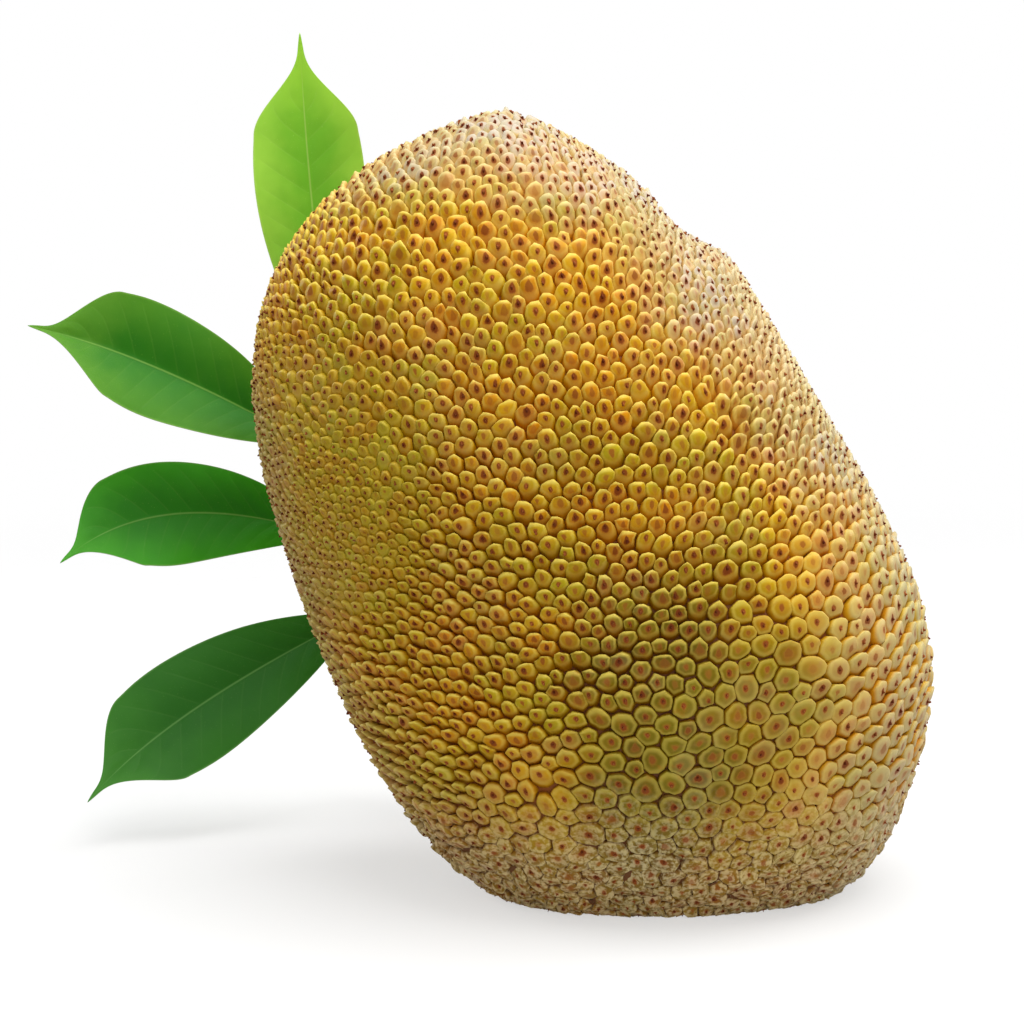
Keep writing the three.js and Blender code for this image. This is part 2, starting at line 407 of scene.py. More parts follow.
class Finish(Bench):
    """A material: one Principled shader and the nodes behind its sockets."""

    def __init__(self, name, **constants):
        self.material = bpy.data.materials.new(name)
        self.material.use_nodes = True
        super().__init__(self.material.node_tree)
        self.tree.nodes.clear()
        self.shader = self.tree.nodes.new("ShaderNodeBsdfPrincipled")
        out = self.tree.nodes.new("ShaderNodeOutputMaterial")
        self.tree.links.new(self.shader.outputs[0], out.inputs["Surface"])
        for label, value in constants.items():
            self.shader.inputs[label.replace("_", " ")].default_value = value

    def drive(self, **values):
        for label, value in values.items():
            feed(self.tree, self.shader.inputs[label.replace("_", " ")], value)

    def place(self):
        return self.add("ShaderNodeTexCoord", output="Object")

    def kept(self, name):
        """What the mesh keeps under that name, as a number."""
        return self.add("ShaderNodeAttribute", {"attribute_name": name}, output="Fac")

    def kept_vector(self, name):
        return self.add("ShaderNodeAttribute", {"attribute_name": name}, output="Vector")

    def noise(self, scale, detail=3.0, place=None):
        inputs = {"Scale": scale, "Detail": detail, "Roughness": 0.55, "Vector": place or self.place()}
        return self.add("ShaderNodeTexNoise", None, inputs, "Fac")

    def blend(self, share, first, second):
        """The first colour where the share is 0 and the second where it is 1."""
        return self.add("ShaderNodeMix", {"data_type": "RGBA"}, {0: share, 6: first, 7: second}, 2)

    def bump(self, height, strength, distance):
        inputs = {"Height": height, "Strength": strength, "Distance": distance}
        return self.add("ShaderNodeBump", None, inputs)


# ---------- where the spines stand ----------
def box_shares(points):
    """How far along the fruit's box each point lies, from 0 to 1 along X and along Z."""
    size = np.array(FRUIT_HIGH - FRUIT_LOW)
    shares = (points - np.array(FRUIT_LOW)) / size
    return shares[:, 0], shares[:, 2]


def plate_share(points):
    """1 at the heavy end, where the spines are low flat plates, and 0 at the stalk end."""
    across, up = box_shares(points)
    return smooth(across - 1.55 * up, -0.14, 0.26)


def crown_share(points):
    """1 on the crown and the long upper side, where the spines are low and run together."""
    long_side = smooth((points - FRUIT_HEART) @ np.array(CROWN_WARD), 0.06, 0.112)
    return np.maximum(long_side, smooth(points[:, 2], *CROWN_RISE))


def near_spot(points, spot, inner, outer):
    """1 within the inner distance of a spot, and 0 beyond the outer one."""
    return 1 - smooth(np.linalg.norm(points - np.array(spot), axis=1), inner, outer)


def fused_share(points):
    """1 where the spines are low and run together, on the crown and on the cheek towards the stalk."""
    cheek = near_spot(points, CHEEK_AT, 0.045, 0.08)
    return np.clip(np.maximum(crown_share(points) * 0.5, cheek), 0, 1)


def pitch_at(points):
    """How far apart the spines stand at each point, with the places where they crowd together."""
    across, up = box_shares(points)
    stalk_side = (1 - smooth(across, 0.02, 0.2)) * (1 - smooth(np.abs(up - 0.55), 0.1, 0.4))
    flat_spot = 1 - smooth(up, 0.01, 0.1)
    pitch = PEG_PITCH + (PLATE_PITCH - PEG_PITCH) * plate_share(points)
    pitch *= 1 - 0.24 * stalk_side
    pitch *= 1 - 0.3 * flat_spot
    pitch *= 1 - 0.16 * crown_share(points)
    pitch *= 1 - 0.34 * near_spot(points, SMALL_SPINES_AT, 0.018, 0.062)
    return pitch * (1 - 0.35 * near_spot(points, STALK_AT, 0.02, 0.055))


def skin_tree():
    """The fruit's skin, ready to be met by rays."""
    skin = bmesh.new()
    skin.from_mesh(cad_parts["fruit"].data)
    bmesh.ops.remove_doubles(skin, verts=skin.verts, dist=1e-6)
    return BVHTree.FromBMesh(skin)


def met(skin, rays):
    """Where rays from the heart leave the fruit, and the skin's normal there."""
    heart = Vector(FRUIT_HEART)
    hits = [skin.ray_cast(heart, Vector(ray)) for ray in rays]
    return np.array([hit[0] for hit in hits]), np.array([hit[1] for hit in hits])


def even_rays(count):
    """Directions spread evenly over a sphere, each a golden angle on from the last."""
    step = np.arange(count) + 0.5
    height = 1 - 2 * step / count
    turn = math.pi * (3 - math.sqrt(5)) * step
    out = np.sqrt(1 - height * height)
    return np.stack([np.cos(turn) * out, np.sin(turn) * out, height], axis=1)


def nearest(points, count):
    """The rows of the points nearest to each point."""
    rows = []
    squares = (points * points).sum(1)
    for start in range(0, len(points), 500):
        some = points[start : start + 500]
        away = squares - 2 * some @ points.T
        rows.append(np.argpartition(away, count + 1, axis=1)[:, : count + 1])
    near = np.concatenate(rows)
    own = near == np.arange(len(points))[:, None]
    near[own] = -1
    return np.sort(near, axis=1)[:, 1:]


def spine_centres():
    """Points on the skin that stand about their own pitch from their neighbours."""
    skin = skin_tree()
    rays = even_rays(FEELER_RAYS)
    hits, normals = met(skin, rays)
    reach = np.linalg.norm(hits - FRUIT_HEART, axis=1)
    area = 4 * math.pi / len(rays) * reach**2 / np.abs((normals * rays).sum(1))
    wanted = np.cumsum(area / (ROW_GAP * pitch_at(hits) ** 2))
    centres = hits[np.searchsorted(wanted, np.arange(0.5, wanted[-1]))]
    for step in range(RELAX_STEPS):
        if step % 6 == 0:
            near = nearest(centres, NEIGHBOURS)
        gap = centres[:, None] - centres[near]
        length = np.linalg.norm(gap, axis=2)
        pitch = pitch_at(centres)
        room = ROOM * (pitch[:, None] + pitch[near]) / 2
        push = np.clip(room - length, 0, None) / np.maximum(length, 1e-6)
        moved = centres + PUSH * (gap * push[..., None]).sum(1)
        centres, _ = met(skin, unit(moved - FRUIT_HEART))
    strayed = centres + luck.normal(0, STRAY, centres.shape) * pitch_at(centres)[:, None]
    centres, _ = met(skin, unit(strayed - FRUIT_HEART))
    return centres


def spine_net():
    """A net whose points are the spines' centres, each with what its spine needs to know."""
    centres = spine_centres()
    hull = bmesh.new()
    for ray in unit(centres - FRUIT_HEART):
        hull.verts.new(ray)
    bmesh.ops.convex_hull(hull, input=hull.verts)
    hull.verts.ensure_lookup_table()
    for vert, centre in zip(hull.verts, centres):
        vert.co = centre
    loose = [vert for vert in hull.verts if not vert.link_faces]
    bmesh.ops.delete(hull, geom=loose, context="VERTS")
    bmesh.ops.beautify_fill(hull, faces=hull.faces, edges=hull.edges, method="ANGLE")
    bmesh.ops.recalc_face_normals(hull, faces=hull.faces)
    hull.normal_update()
    mesh = bpy.data.meshes.new("spine_net")
    normals = np.array([vert.normal for vert in hull.verts])
    girth = np.array([np.mean([e.calc_length() for e in v.link_edges]) / 2 for v in hull.verts])
    hull.to_mesh(mesh)
    points = np.array([vert.co for vert in mesh.vertices])
    know_spines(mesh, points, normals, girth)
    return placed("spine_net", mesh)


def know_spines(mesh, points, normals, girth):
    """Gives each spine its shape: its height, its lean, its tilt, and whether it is a plate."""
    across, up = box_shares(points)
    count = len(points)
    heavy_end = plate_share(points)
    outer_rim = smooth(points[:, 0], 0.035, 0.085) * smooth(up, 0.1, 0.26)
    plate = np.clip(heavy_end * (1 - 0.5 * outer_rim) + luck.normal(0, 0.06, count), 0, 1)
    crown_ward = np.array((-0.12, 0.0, 1.0))
    along = crown_ward - normals * (normals @ crown_ward)[:, None]
    slope = np.linalg.norm(along, axis=1)
    along = unit(along)
    pitch = 2 * girth
    # Spines are shorter near the floor, where they are fused, and at the edge of the stalk end.
    height = pitch * (PEG_HEIGHT + (PLATE_HEIGHT - PEG_HEIGHT) * plate) * luck.uniform(0.88, 1.12, count)
    height *= 1 - 0.15 * (1 - smooth(up, 0.02, 0.16))
    fused = np.clip(fused_share(points) + luck.normal(0, 0.1, count), 0, 1) * (1 - plate)
    height *= 1 - 0.46 * fused
    height *= 1 - 0.2 * (1 - smooth(across, 0.0, 0.12))
    side = smooth(across, 0.0, 0.2)
    lean = (1 - plate) * PEG_LEAN * pitch * np.clip(slope * 1.2, 0, 1) * (0.55 + 0.45 * side)
    sway = np.cross(normals, along) * (luck.normal(0, 0.08, count) * pitch * (1 - 0.6 * plate))[:, None]
    stored(mesh, "heart", points)
    stored(mesh, "outward", normals)
    stored(mesh, "along", along)
    stored(mesh, "across", np.cross(along, normals))
    stored(mesh, "lean", along * lean[:, None] + sway)
    stored(mesh, "height", height)
    stored(mesh, "girth", girth)
    stored(mesh, "plate", plate)
    stored(mesh, "fused", fused)
    stored(mesh, "tone", luck.uniform(0, 1, count))
    stored(mesh, "dry", luck.uniform(0, 1, count))
    flaky = 1 - smooth(up, 0.03, 0.2)
    stored(mesh, "tilt", luck.normal(0, 0.09, (count, 3)).clip(-0.2, 0.2) * (1 + 1.3 * flaky)[:, None])
    depth = (points[:, 1] < 0).astype(float)
    stored(mesh, "zone", np.where(heavy_end > 0.45, 2.0, depth))
    stored(mesh, "clear", 1 - near_spot(points, STALK_AT, BARE_ROUND_STALK, BARE_ROUND_STALK + 0.0001))


# ---------- what grows on the net ----------
def above_floor(position):
    """The same place, or just above the floor if it would be under it."""
    return position.most((-10.0, -10.0, FLOOR_GAP))


def skin_grower():
    """The skin between the spines, as deep as the spines are tall."""
    g = Grower("grow_skin", Material="")
    sink = CREST_LEVEL - g.kept("height") * g.kept("plate").between(*GROOVE_DEPTH)
    outward = g.kept("outward", "FLOAT_VECTOR")
    place = g.kept("heart", "FLOAT_VECTOR") + outward * sink
    g.end(g.move(g.given("Base"), position=above_floor(place)))
    return g


def spine_grower():
    """One closed spine in each cell of the net: a leaning peg, or a flat plate that fills its cell."""
    g = Grower("grow_spines", Zone=0.0, Groove=GROOVE, Sides=12, Nib_Depth=NIB_DEPTH, Material="")
    base = g.given("Base")
    heart = g.kept("heart", "FLOAT_VECTOR")
    outward = g.kept("outward", "FLOAT_VECTOR")
    along = g.kept("along", "FLOAT_VECTOR")
    across = g.kept("across", "FLOAT_VECTOR")
    lean = g.kept("lean", "FLOAT_VECTOR")
    plate = g.kept("plate")
    fused = g.kept("fused")
    girth = g.kept("girth")
    height = g.kept("height")

    wall_height = 8 * MM
    cells = g.add("GeometryNodeDualMesh", None, {"Mesh": base})
    normal = g.add("GeometryNodeInputNormal")
    lowered = g.move(cells, offset=normal * (-wall_height / 2))
    raised = {"Mesh": lowered, "Offset": normal, "Offset Scale": wall_height}
    walls = g.add("GeometryNodeExtrudeMesh", {"mode": "EDGES"}, raised)

    drum = {
        "Vertices": g.given("Sides"),
        "Side Segments": len(SPINE_RINGS),
        "Fill Segments": 1,
        "Radius": 1.0,
        "Depth": 2.0,
    }
    blank = g.add("GeometryNodeMeshCylinder", {"fill_type": "TRIANGLE_FAN"}, drum)
    blank = g.keep(blank, "seat", g.add("GeometryNodeInputPosition"), "FLOAT_VECTOR")
    ours = (abs(g.kept("zone") - g.given("Zone")) * -1 + 0.5) * g.kept("clear")
    chosen = ours.through("GREATER_THAN", 0.1)
    standing = {"Points": base, "Selection": chosen, "Instance": blank}
    spines = g.add("GeometryNodeInstanceOnPoints", None, standing)
    spines = g.add("GeometryNodeRealizeInstances", None, {"Geometry": spines})

    side, front, level = g.kept("seat", "FLOAT_VECTOR").parts()
    away = across * side + along * front
    rim = away.length().least(1.0)
    ray = {"Target Geometry": walls, "Source Position": heart, "Ray Direction": away, "Ray Length": 0.03}
    struck = g.add("GeometryNodeRaycast", None, ray)
    reach = girth + (struck.other("Hit Distance") - girth) * struck.other("Is Hit")
    wide = reach.least(girth * 1.3) - g.given("Groove") / 2

    ring = (level + 1) * 1.5
    widths, heights = zip(*SPINE_RINGS)
    share = ring.steps(1.0, *[plate.between(peg, flat) + fused * more for peg, flat, more in widths])
    rises = [plate.between(peg, flat) + fused * more for peg, flat, more in heights]
    crest = (level * 3 - 2).most(0.0)
    up = ring.steps(ROOT_HEIGHT, *rises) + (1.0 - rim) * crest * plate.between(*CROWNING)
    tilt_side, tilt_front, _ = g.kept("tilt", "FLOAT_VECTOR").parts()
    tilt_front = tilt_front + plate.between(PEG_TILT, 0.0)
    raised = (level * 1.5 + 0.5).most(0.0).least(1.0)
    slope = (side * tilt_side + front * tilt_front) * share * girth * raised
    place = heart + outward * (height * up + CREST_LEVEL - height + slope)
    place = place + away * (wide * share) + lean * up
    lumps = g.add("ShaderNodeTexNoise", None, {"Vector": place, "Scale": 210.0, "Detail": 1.0}, "Color")
    place = place + (lumps - (0.5, 0.5, 0.5)) * (plate.between(LUMPS, LUMPS * 0.6) * (1 + raised))
    spot = g.vector(side * share, front * share, up)
    spines = g.keep(g.move(spines, position=place), "spot", spot, "FLOAT_VECTOR")

    scar = along * (girth * plate.between(SCAR_FRONT, 0.0)) + lean
    above = {"Source Position": heart + scar + outward * 0.012, "Ray Direction": outward * -1.0}
    struck = g.add("GeometryNodeRaycast", None, {"Target Geometry": spines, "Ray Length": 0.02, **above})
    nib = g.add("GeometryNodeMeshCone", None, {"Vertices": NIB_SIDES, "Radius Top": 0.35, "Depth": 1.6})
    nib = g.keep(nib, "nib", 1.0)
    axes = {"primary_axis": "Z", "secondary_axis": "Y"}
    turned = {"Primary Axis": struck.other("Hit Normal"), "Secondary Axis": along}
    dry = (g.kept("dry") - NO_NIB) * struck.other("Is Hit") * ours.most(0.0)
    seated = g.move(base, position=struck.other("Hit Position"))
    wide = girth * plate.between(*NIB_WIDTH)
    standing = {
        "Points": seated,
        "Selection": dry.through("GREATER_THAN", 0.0),
        "Instance": nib,
        "Rotation": g.add("FunctionNodeAxesToRotation", axes, turned),
        "Scale": g.vector(wide, wide * plate.between(*NIB_STRETCH), g.given("Nib_Depth")),
    }
    nibs = g.add("GeometryNodeInstanceOnPoints", None, standing)
    nibs = g.add("GeometryNodeRealizeInstances", None, {"Geometry": nibs})
    joined = g.add("GeometryNodeJoinGeometry", None, {"Geometry": spines})
    g.tree.links.new(nibs.socket, joined.socket.node.inputs[0])
    g.end(g.move(joined, position=above_floor(g.add("GeometryNodeInputPosition"))))
    return g


# ---------- finishes of the rind ----------
class Rind(Finish):
    """A finish of the rind, which knows the fruit's regions, each from 0 to 1. Some of them mark where
    light is painted.
    """

    def regions(self):
        place = self.place()
        x, y, z = place.parts()
        patchy = self.noise(17.0, 2.5)
        offset = place - tuple(FRUIT_HEART)
        olive = (place - OLIVE_AT).through("DIVIDE", OLIVE_SIZE).length()
        self.olive = 1 - (olive + (patchy - 0.5) * 1.4).rise(0.45, 1.5)
        self.low = 1 - (z + (patchy - 0.5) * 0.05).rise(0.02, 0.075)
        long_side = (offset.dot(CROWN_WARD) + (patchy - 0.5) * 0.035).rise(0.06, 0.115)
        # The crown and the long upper side face the overhead and right-hand lights. The rind there is
        # painted paler: partly its own pale bloom, partly painted light.
        self.crown = long_side.most((z + (patchy - 0.5) * 0.04).rise(*CROWN_RISE))
        # The stalk end's edge: partly the rind's own greyish fuzz, partly painted rim light.
        self.hazy_rim_light = (offset.dot(STALK_WARD) + (patchy - 0.5) * 0.03).rise(0.085, 0.13)
        # Painted light: towards the heavy end, on the side facing the right-hand lights, the rind is
        # painted paler.
        self.lit_heavy_end = (x + (patchy - 0.5) * 0.04).rise(0.035, 0.105)
        lime = (place - LIME_AT).length() + (patchy - 0.5) * 0.05
        self.green = self.noise(23.0, 2.0, place + (0.3, 0.1, 0.7)).rise(0.42, 0.62)
        self.green = self.green.most(1 - lime.rise(0.025, 0.07))
        self.waxy = self.noise(24.0, 3.0, place + (0.1, 0.5, 0.2)).rise(0.48, 0.58)


def spine_finish():
    f = Rind("spiny_rind", Specular_IOR_Level=0.11)
    f.regions()
    side, front, up = f.kept_vector("spot").parts()
    plate = f.kept("plate")
    tone = f.kept("tone")
    dry = f.kept("dry")
    fused = f.kept("fused")
    grain = f.noise(1400.0, 2.0)
    mottle = f.noise(260.0, 3.0)
    from_middle = f.vector(side, front, 0.0).length()

    amber = f.blend(tone, paint("c67a06"), paint("d6a00c"))
    lime = f.blend(tone, paint("ac8606"), paint("b09e10"))
    body = f.blend((f.green * 0.75 + tone * 0.25).least(1.0) * plate.between(1.0, 0.6), amber, lime)
    body = f.blend(fused * (1 - f.crown) * 0.7, body, f.blend(tone, paint("a87c14"), paint("a89620")))
    body = f.blend(f.olive, body, f.blend(tone, paint("6a5604"), paint("7c6c08")))
    # Painted light: the crown is painted pale cream, partly the rind's own bloom.
    body = f.blend(f.crown * 0.8, body, paint("beb28c"))
    # Painted highlight: the pegs' crests and top edges, a ring round their sides and the plates' rims
    # are painted cream where the overhead light would catch them, and a paler cream on the crown.
    crest = f.blend(f.crown, f.blend(plate.between(0.85, 0.7), body, paint("e6d05c")), paint("d2c8a6"))
    side_edge_highlight = from_middle.rise(0.6, 0.8) * (1 - from_middle.rise(0.92, 1.0)) * 0.5
    peg_edge_highlight = (front + from_middle * 0.3).rise(0.35, 0.85).most(side_edge_highlight) * up.rise(0.5, 0.9)
    plate_edge_highlight = from_middle.rise(0.5, 0.86) * up.rise(0.8, 0.95) * 0.4
    colour = f.blend(plate.between(peg_edge_highlight * (1 - fused * 0.5), plate_edge_highlight), body, crest)
    # Painted shade: a deep orange-brown for the pegs' front faces, which face down away from the
    # overhead light, and for the low walls down into the grooves.
    deep = f.blend(plate, paint("a45802"), paint("82480a"))
    # Painted light: the painted groove shade is paler on the crown.
    deep = f.blend(f.crown * 0.8, deep, paint("d8ac52"))
    deep = f.blend(fused * (1 - f.crown * 0.6), deep, body)
    # Painted light: the painted groove shade is lighter towards the heavy end.
    deep = f.blend(f.lit_heavy_end * 0.8, deep, paint("c98a26"))
    # Painted shade on the pegs' front faces.
    face = (front * -1.0).rise(0.05, 0.95) * (1 - plate) * 0.5
    colour = f.blend(face, colour, deep)
    # Painted shade down into the grooves between the spines.
    sunk = 1 - up.rise(plate.between(0.0, 0.3), plate.between(0.85, 0.95))
    colour = f.blend(sunk * 0.8, colour, deep)
    colour = f.blend(mottle.rise(0.5, 0.8) * 0.35, colour, paint("b06a14"))
    wax = f.waxy * (f.crown * 0.55 + 0.05) * up.rise(0.6, 0.95) * (dry * 0.6 + mottle).rise(0.5, 0.9)
    colour = f.blend(wax, colour, paint("bcb4b4"))
    # Painted rim light and fuzz: the stalk end's edge is painted a greyish pale.
    colour = f.blend(f.hazy_rim_light * 0.5, colour, paint("96846c"))
    # Painted light: the spines' tops are painted pale tan towards the heavy end.
    colour = f.blend(f.lit_heavy_end * up.rise(0.6, 0.96) * 0.65, colour, paint("b4ab84"))
    crust = f.noise(480.0, 3.0).rise(0.4, 0.6)
    colour = f.blend(f.low * 0.65, colour, f.blend(crust, paint("6e5026"), paint("d6c69a")))

    scar_front = plate.between(SCAR_FRONT, 0.0)
    small = 1 - fused * 0.34
    wide = plate.between(0.29, 0.24) * ((front - scar_front) * (tone - 0.5) * 3.0 + 1.0) * small
    tall = plate.between(0.46, 0.3) * small
    off = f.vector(side / wide.most(0.06), (front - scar_front) / tall, 0.0).length()
    off = off + (grain - 0.5) * 0.4 + (tone - 0.5) * 0.4
    halo = (1 - off.rise(0.7, 1.8)) * up.rise(0.5, 0.9) * plate.between(0.3, 0.4) * (1 - fused * 0.7)
    colour = f.blend(halo, colour, paint("b9702c"))
    scar = (1 - off.rise(0.7, 1.1)) * up.rise(0.5, 0.8) * dry.rise(-0.2, 0.5)
    colour = f.blend(scar * 0.9, colour, f.blend(tone, paint("742e0a"), paint("9c4c1c")))
    nib = f.kept("nib")
    colour = f.blend(nib, colour, f.blend(tone, paint("5a220c"), paint("9a562a")))
    f.drive(Base_Color=colour)
    f.drive(Roughness=(scar * 0.25 + mottle * 0.2 + nib * 0.3 + 0.28).least(1.0))
    relief = grain * 0.4 + mottle * 0.7 - scar * 0.9 + crust * f.low
    f.drive(Normal=f.bump(relief, 0.45, 0.4 * MM))
    return f.material


def skin_finish():
    f = Rind("rind_between_spines", Roughness=0.7)
    f.regions()
    mottle = f.noise(220.0, 3.0)
    colour = f.blend((f.olive + f.low).least(1.0), paint("94500a"), paint("6a3c06"))
    # Painted light: the skin in the grooves is painted a lighter orange on the crown.
    colour = f.blend(f.crown * 0.8, colour, paint("cf8a2c"))
    colour = f.blend(mottle * 0.5, colour, paint("643206"))
    f.drive(Base_Color=colour, Normal=f.bump(mottle, 0.6, 0.6 * MM))
    return f.material


# ---------- the rind ----------
def make_rind():
    net = spine_net()
    finish = spine_finish()
    finished(skin_grower().grow("rind_skin", net, Material=skin_finish()), "rind", "fruit")
    grower = spine_grower()
    for zone, (name, sides) in enumerate(SPINE_PIECES.items()):
        piece = grower.grow(name, net, Zone=float(zone), Sides=sides, Material=finish)
        finished(piece, "rind", "fruit")
    bpy.data.objects.remove(net)


# ---------- bars and blades ----------
def smooth_line(points, count):
    """Evenly spaced points on a centripetal curve through the given ones, and its directions there."""
    points = np.array(points) * MM
    ends = 2 * points[[0, -1]] - points[[1, -2]]
    points = np.vstack([ends[:1], points, ends[1:]])
    fine = []
    for a, b, c, d in zip(points, points[1:], points[2:], points[3:]):
        knots = np.cumsum([0] + [np.linalg.norm(q - p) ** 0.5 for p, q in ((a, b), (b, c), (c, d))])
        for t in np.linspace(knots[1], knots[2], 60, endpoint=False):
            row = [a, b, c, d]
            for reach in (1, 2, 3):
                spans = zip(row, row[1:], knots, knots[reach:])
                row = [p + (q - p) * (t - low) / (high - low) for p, q, low, high in spans]
            fine.append(row[0])
    fine.append(points[-2])
    return evenly_spaced(np.array(fine), np.linspace(0, 1, count))


def evenly_spaced(fine, shares):
    """The points at the given shares of a line's length, and the line's directions there."""
    length = np.concatenate([[0], np.cumsum(np.linalg.norm(np.diff(fine, axis=0), axis=1))])
    wanted = shares * length[-1]
    line = np.stack([np.interp(wanted, length, fine[:, axis]) for axis in range(3)], axis=1)
    course = np.gradient(fine, length, axis=0)
    ways = np.stack([np.interp(wanted, length, course[:, axis]) for axis in range(3)], axis=1)
    return line, unit(ways)


def closed_rings(name, rings, **kept):
    """A closed mesh over rings of points, capped at both ends, with what each point keeps."""
    steps, sides = rings.shape[:2]
    step, side = np.meshgrid(np.arange(steps - 1), np.arange(sides), indexing="ij")
    here = (step * sides + side).ravel()
    beside = (step * sides + (side + 1) % sides).ravel()
    faces = np.stack([here, beside, beside + sides, here + sides], axis=1).tolist()
    faces.append(list(range(sides))[::-1])
    faces.append(list(range((steps - 1) * sides, steps * sides)))
    mesh = bpy.data.meshes.new(name)
    mesh.from_pydata(rings.reshape(-1, 3).tolist(), [], faces)
    for label, values in kept.items():
        stored(mesh, label, values.reshape(-1, values.shape[-1]))
    mesh.polygons.foreach_set("use_smooth", [True] * len(faces))
    tidy = bmesh.new()
    tidy.from_mesh(mesh)
    bmesh.ops.recalc_face_normals(tidy, faces=tidy.faces)
    tidy.to_mesh(mesh)
    return mesh


def round_bar(name, line, ways, radius):
    """A bar along a line. radius has a row for each point of the line and a column for each side."""
    sides = radius.shape[1]
    angle = np.arange(sides) * 2 * math.pi / sides
    aside = unit(np.cross(ways[0], (0.3, 0.2, 1.0)))
    rings = []
    for centre, way, reach in zip(line, ways, radius):
        aside = unit(aside - way * (aside @ way))
        other = np.cross(way, aside)
        out = np.cos(angle)[:, None] * aside + np.sin(angle)[:, None] * other
        rings.append(centre + out * reach[:, None])
    gone = np.concatenate([[0], np.cumsum(np.linalg.norm(np.diff(line, axis=0), axis=1))])
    across = np.stack([np.cos(angle), np.sin(angle)], axis=1) * radius.mean(1)[:, None, None]
    lengthwise = np.broadcast_to(gone[:, None, None], (*radius.shape, 1))
    return closed_rings(name, np.array(rings), grain=np.concatenate([across, lengthwise], axis=2))


def bulge(share, at, rise, spread):
    return rise * MM * np.exp(-(((share - at) / spread) ** 2))


def ripple(steps, sides, waves, depth):
    """Furrows that run along a bar, a few waves of random phase, as a change of its radius."""
    share = np.linspace(0, 1, steps)[:, None]
    angle = (np.arange(sides) * 2 * math.pi / sides)[None]
    total = np.zeros((steps, sides))
    for wave in waves:
        turn, drift = luck.uniform(0, 2 * math.pi), luck.uniform(-2.5, 2.5)
        swell = np.sin(share * luck.uniform(6, 16) + luck.uniform(0, 6))
        total += np.cos(wave * angle + turn + drift * share) * (0.6 + 0.4 * swell) / wave**0.5
    return total * depth


def make_stalk():
    steps, sides = 90, 72
    line, ways = smooth_line(STALK_PATH, steps)
    share = np.linspace(0, 1, steps)
    radius = STALK_RADIUS[0] + (STALK_RADIUS[1] - STALK_RADIUS[0]) * share
    radius = radius * MM + bulge(share, 0, 5, 0.16) + bulge(share, 0.55, 1.2, 0.12)
    rings = ripple(steps, sides, (3, 5, 9, 14, 19), 0.6 * MM)
    hoops = sum(bulge(share, at, 0.5, 0.012) for at in STALK_HOOPS)
    radius = radius[:, None] + rings + hoops[:, None]
    cut = 7
    fall = np.linspace(0, 1, cut)[1:-1]
    for step, off in enumerate(fall):
        line = np.vstack([line, line[steps - 1] + ways[steps - 1] * 0.9 * MM * math.sin(off * 1.6)])
        ways = np.vstack([ways, ways[-1:]])
        radius = np.vstack([radius, radius[steps - 1] * (1 - off) ** 0.5 * (1 + 0.02 * (step % 2))])
    piece = placed("stalk_bark", round_bar("stalk_bark", line, ways, radius))
    stored(piece.data, "cut", np.repeat(np.concatenate([np.zeros(steps - 1), np.ones(cut - 1)]), sides))
    piece.data.materials.append(wood_finish())
    finished(piece, "stalk_wood", "stalk")


def make_shoot():
    steps, sides = 260, 32
    line, ways = smooth_line(SHOOT_PATH, steps)
    share = np.linspace(0, 1, steps)
    radius = (SHOOT_RADIUS[0] + (SHOOT_RADIUS[1] - SHOOT_RADIUS[0]) * share) * MM
    for at in SHOOT_NODES:
        radius = radius + bulge(share, at, 0.9, 0.03) + bulge(share, at + 0.022, 0.35, 0.004)
    radius = radius[:, None] + ripple(steps, sides, (2, 4, 7), 0.13 * MM)
    bud = np.linspace(0, 1, 12)[1:]
    line = np.vstack([line, line[-1] + ways[-1] * (bud[:, None] * BUD_LENGTH)])
    ways = np.vstack([ways, np.repeat(ways[-1:], len(bud), axis=0)])
    tip = np.cos(bud * math.pi / 2) ** 0.8 * (1 + 0.25 * np.sin(bud * math.pi)) + 0.03
    radius = np.vstack([radius, radius[-1:] * tip[:, None]])
    base = placed("shoot_base", round_bar("shoot_base", line, ways, radius))
    piece = lenticel_grower().grow("shoot_bark", base, Material=bark_finish())
    finished(piece, "shoot_bark", "shoot")
    bpy.data.objects.remove(base)


def lenticel_grower():
    """The bar with raised corky dots scattered over its bark."""
    g = Grower("grow_lenticels", Density=26000.0, Length=0.9 * MM, Material="")
    base = g.given("Base")
    spread = {"Mesh": base, "Density": g.given("Density"), "Seed": 5}
    dots = g.add("GeometryNodeDistributePointsOnFaces", None, spread)
    ball = g.add("GeometryNodeMeshUVSphere", None, {"Segments": 7, "Rings": 4, "Radius": 0.5})
    ball = g.keep(ball, "cork", 1.0)
    size = g.add("FunctionNodeRandomValue", None, {2: 0.45, 3: 1.0, "Seed": 9}, 1) * g.given("Length")
    standing = {
        "Points": dots,
        "Instance": ball,
        "Rotation": dots.other("Rotation"),
        "Scale": g.vector(size * 0.6, size, size * 0.45),
    }
    corks = g.add("GeometryNodeInstanceOnPoints", None, standing)
    joined = g.add("GeometryNodeJoinGeometry", None, {"Geometry": base})
    g.tree.links.new(corks.socket, joined.socket.node.inputs[0])
    g.end(joined)
    return g


